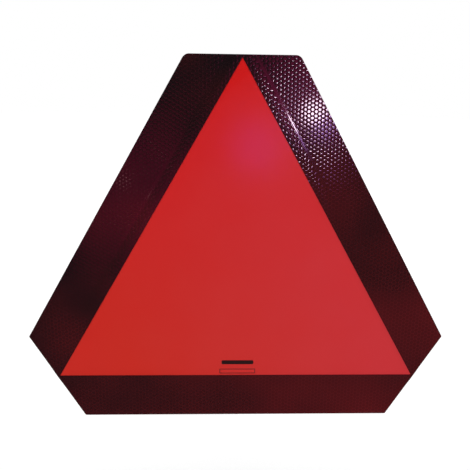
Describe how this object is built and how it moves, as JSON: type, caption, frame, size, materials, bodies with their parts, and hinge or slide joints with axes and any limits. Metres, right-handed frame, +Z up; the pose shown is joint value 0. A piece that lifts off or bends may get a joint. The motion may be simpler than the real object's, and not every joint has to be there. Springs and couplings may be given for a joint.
{
  "type": "slow moving vehicle sign",
  "caption": "Flat triangular rear marking plate with cut-off points, a fluorescent red-orange centre and a dark red honeycomb reflective border, fixed to the back of a slow vehicle.",
  "frame": {"origin": "centre of the triangle, on the back face of the plate", "axes": "+Z up to the apex, +X to the right seen from the front, +Y out of the back face towards the vehicle, so the front looks towards -Y"},
  "size_m": [0.4092, 0.0023, 0.355],
  "materials": {
    "plate_aluminium": "mill-finished sheet, faint rolling grain, sheared edges",
    "fluorescent_film": "fluorescent red-orange film, smooth, soft gloss",
    "reflective_sheeting": "dark red honeycomb reflective sheeting, clear glossy face with a low pillow over each cell"
  },
  "bodies": {
    "root": {"backing_plate": "plate_aluminium", "fluorescent_triangle": "fluorescent_film", "reflective_strip_bottom": "reflective_sheeting", "reflective_strip_left": "reflective_sheeting", "reflective_strip_right": "reflective_sheeting"}
  },
  "joints": []
}
